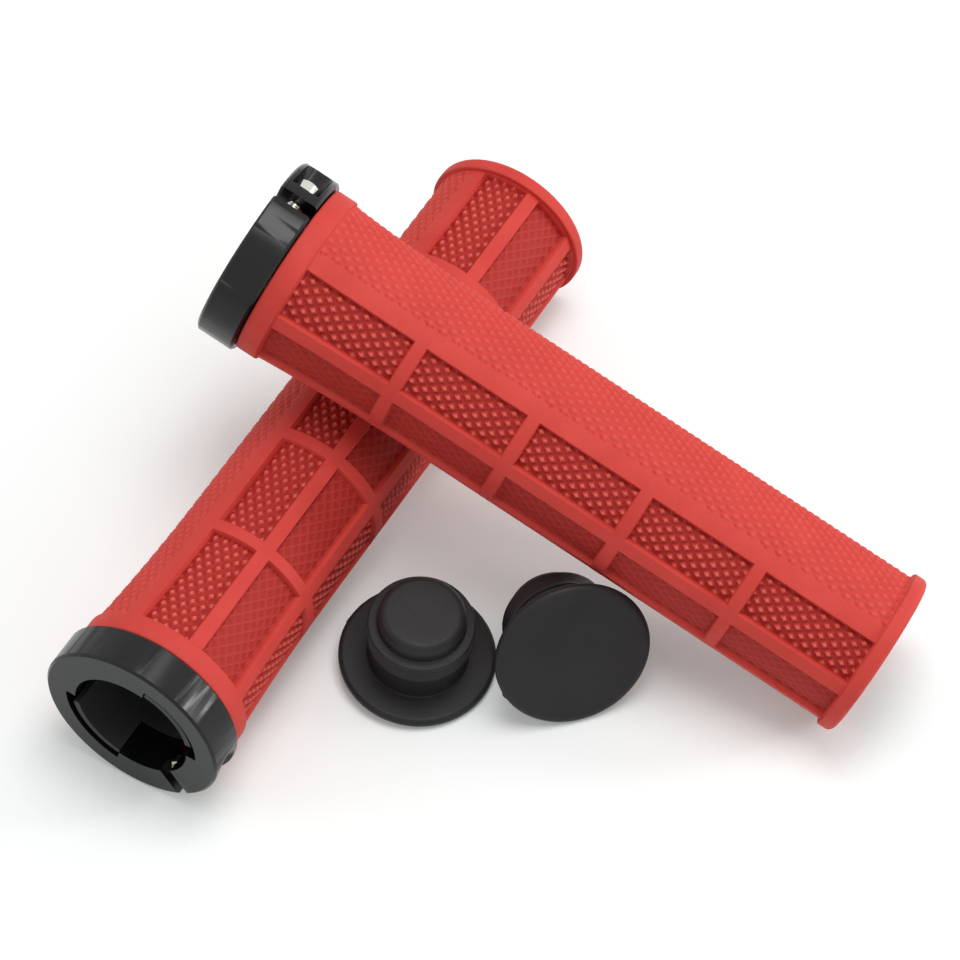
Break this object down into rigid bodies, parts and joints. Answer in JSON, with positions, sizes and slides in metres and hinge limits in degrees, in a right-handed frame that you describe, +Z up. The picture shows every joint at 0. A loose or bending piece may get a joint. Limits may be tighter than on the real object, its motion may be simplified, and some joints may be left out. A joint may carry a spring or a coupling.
{
  "type": "bicycle handlebar grips with bar end plugs",
  "caption": "Pair of waffle-pattern rubber lock-on handlebar grips with split clamp collars and push-in bar end plugs, laid out crossed.",
  "frame": {"origin": "middle of the set's footprint, on the table it lies on", "axes": "+Z up, +X towards the upper grip's outer end, +Y towards the lower grip's outer end"},
  "size_m": [0.1526, 0.1294, 0.0707],
  "materials": {
    "red_rubber": "matte moulded rubber",
    "black_core_plastic": "satin moulded",
    "black_anodised_aluminium": "glossy black anodised",
    "zinc_steel": "zinc plated",
    "black_plug_plastic": "matte moulded"
  },
  "bodies": {
    "lower_grip": {"rubber_sleeve_lower": "red_rubber", "core_tube_lower": "black_core_plastic"},
    "lower_collar": {"clamp_collar_lower": "black_anodised_aluminium"},
    "lower_bolt": {"clamp_bolt_lower": "zinc_steel"},
    "upper_grip": {"rubber_sleeve_upper": "red_rubber", "core_tube_upper": "black_core_plastic"},
    "upper_collar": {"clamp_collar_upper": "black_anodised_aluminium"},
    "upper_bolt": {"clamp_bolt_upper": "zinc_steel"},
    "standing_plug": {"end_plug_standing": "black_plug_plastic"},
    "lying_plug": {"end_plug_lying": "black_plug_plastic"}
  },
  "joints": [
    {"name": "lower_collar_slide", "type": "slide", "parent": "lower_grip", "child": "lower_collar", "axis": [-0.503, -0.8642, 0.0138], "range_m": [0, 0.012]},
    {"name": "lower_bolt_turn", "type": "hinge", "parent": "lower_collar", "child": "lower_bolt", "pos_m": [-0.05041, -0.0586, 0.00848], "axis": [0.7085, -0.4031, 0.5792], "range_deg": [0, 720]},
    {"name": "upper_collar_slide", "type": "slide", "parent": "upper_grip", "child": "upper_collar", "axis": [-0.8356, 0.4584, 0.3027], "range_m": [0, 0.012]},
    {"name": "upper_bolt_turn", "type": "hinge", "parent": "upper_collar", "child": "upper_bolt", "pos_m": [-0.03266, 0.02072, 0.0657], "axis": [0.4539, 0.8865, -0.0897], "range_deg": [0, 720]},
    {"name": "upper_grip_lift", "type": "slide", "parent": "lower_grip", "child": "upper_grip", "axis": [0, 0, 1], "range_m": [0, 0.08]},
    {"name": "standing_plug_lift", "type": "slide", "parent": "lower_grip", "child": "standing_plug", "axis": [0, 0, 1], "range_m": [0, 0.08]},
    {"name": "lying_plug_lift", "type": "slide", "parent": "lower_grip", "child": "lying_plug", "axis": [0, -1, 0], "range_m": [0, 0.04]}
  ]
}
